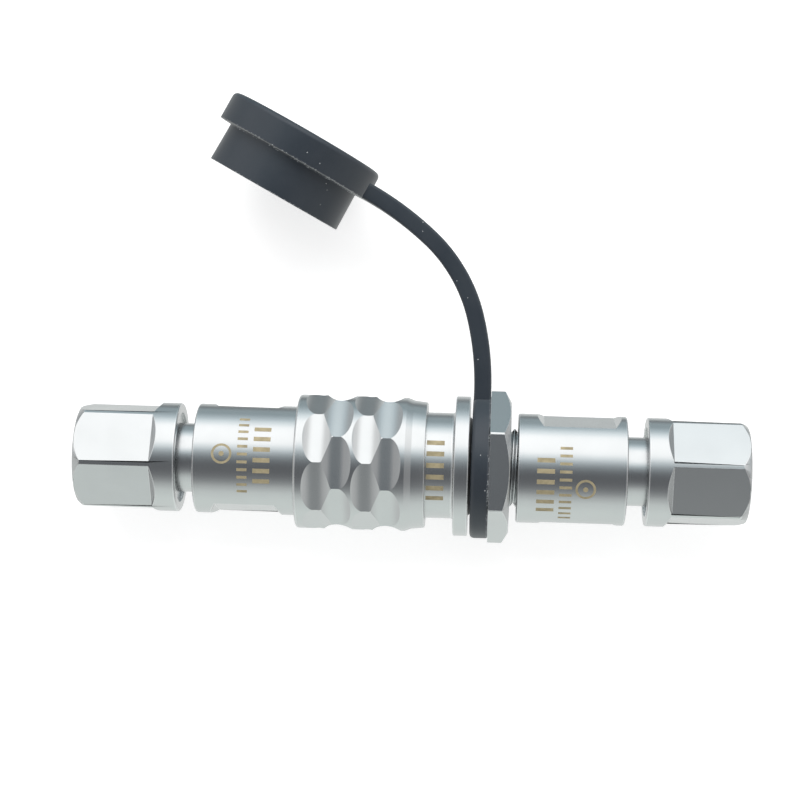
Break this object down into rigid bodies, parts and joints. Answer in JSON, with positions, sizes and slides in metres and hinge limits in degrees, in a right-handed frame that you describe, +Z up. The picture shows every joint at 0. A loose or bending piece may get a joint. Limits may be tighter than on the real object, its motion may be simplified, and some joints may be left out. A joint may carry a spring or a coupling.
{
  "type": "waterproof plug and socket",
  "caption": "Round push-pull cable plug with a dimpled sleeve, latched in a flanged panel socket, with cable clamps and a tethered dust cap.",
  "frame": {"origin": "on the connector's axis, in the rear face of the socket's flange, where a panel seats", "axes": "+X along the connector from the plug's cable end to the socket's; +Y to the side the dust cap lies on; +Z up from the table"},
  "size_m": [0.0766, 0.0505, 0.0191],
  "materials": {
    "plated_shell": "satin chrome plate over turned brass",
    "spring_steel": "spring steel",
    "bare_brass": "turned",
    "gold_plated_contact": "gold flash on turned brass",
    "insulator": "moulded, black",
    "rubber": "moulded, blue-black"
  },
  "bodies": {
    "socket": {"socket_shell": "plated_shell", "socket_insert": "insulator", "socket_contact_1": "gold_plated_contact", "socket_contact_2": "gold_plated_contact", "socket_contact_3": "gold_plated_contact", "socket_contact_4": "gold_plated_contact", "socket_insert_circlip": "spring_steel", "socket_back_shell": "plated_shell", "socket_shell_oring": "rubber", "socket_cable_seal": "rubber", "socket_thrust_washer": "bare_brass"},
    "panel_stack": {"panel_oring": "rubber"},
    "tether": {"dust_cap": "rubber"},
    "panel_nut": {"panel_nut": "plated_shell"},
    "socket_claw": {"socket_clamp_claw": "bare_brass"},
    "socket_nut": {"socket_clamp_nut": "plated_shell"},
    "plug": {"plug_barrel": "plated_shell", "plug_insert": "insulator", "plug_pin_1": "gold_plated_contact", "plug_pin_2": "gold_plated_contact", "plug_pin_3": "gold_plated_contact", "plug_pin_4": "gold_plated_contact", "plug_insert_circlip": "spring_steel", "barrel_oring": "rubber", "latch_collet": "spring_steel", "collet_circlip": "spring_steel", "sleeve_spring": "spring_steel", "plug_back_shell": "plated_shell", "plug_shell_oring": "rubber", "plug_cable_seal": "rubber", "plug_thrust_washer": "bare_brass"},
    "sleeve": {"coupling_sleeve": "plated_shell", "sleeve_stop_ring": "plated_shell"},
    "plug_claw": {"plug_clamp_claw": "bare_brass"},
    "plug_nut": {"plug_clamp_nut": "plated_shell"}
  },
  "joints": [
    {"name": "plug_slide", "type": "slide", "parent": "socket", "child": "plug", "axis": [-1, 0, 0], "range_m": [0, 0.014], "deforming": ["latch_collet"]},
    {"name": "sleeve_slide", "type": "slide", "parent": "plug", "child": "sleeve", "axis": [-1, 0, 0], "range_m": [0, 0.0016], "stiffness_N_per_m": 500, "springref_m": -0.001, "deforming": ["sleeve_spring"]},
    {"name": "plug_claw_slide", "type": "slide", "parent": "plug", "child": "plug_claw", "axis": [1, 0, 0], "range_m": [-0.0029, 0.0019]},
    {"name": "plug_nut_turn", "type": "hinge", "parent": "plug_claw", "child": "plug_nut", "pos_m": [-0.0331, 0, 0], "axis": [1, 0, 0], "range_deg": [-1390, 910]},
    {"name": "socket_claw_slide", "type": "slide", "parent": "socket", "child": "socket_claw", "axis": [-1, 0, 0], "range_m": [-0.0029, 0.0019]},
    {"name": "socket_nut_turn", "type": "hinge", "parent": "socket_claw", "child": "socket_nut", "pos_m": [0.0202, 0, 0], "axis": [-1, 0, 0], "range_deg": [-1390, 910]},
    {"name": "panel_stack_slide", "type": "slide", "parent": "socket", "child": "panel_stack", "axis": [1, 0, 0], "range_m": [0, 0.0008]},
    {"name": "panel_nut_turn", "type": "hinge", "parent": "panel_stack", "child": "panel_nut", "pos_m": [0.0035, 0, 0], "axis": [1, 0, 0], "range_deg": [0, 380]},
    {"name": "cap_ring_turn", "type": "hinge", "parent": "panel_stack", "child": "tether", "pos_m": [0.0013, 0, 0], "axis": [1, 0, 0], "continuous": true}
  ],
  "couplings": [
    {"joint": "plug_claw_slide", "follows": "plug_nut_turn", "m_per_rad": 0.00011937},
    {"joint": "socket_claw_slide", "follows": "socket_nut_turn", "m_per_rad": 0.00011937},
    {"joint": "panel_stack_slide", "follows": "panel_nut_turn", "m_per_rad": 0.00011937}
  ]
}
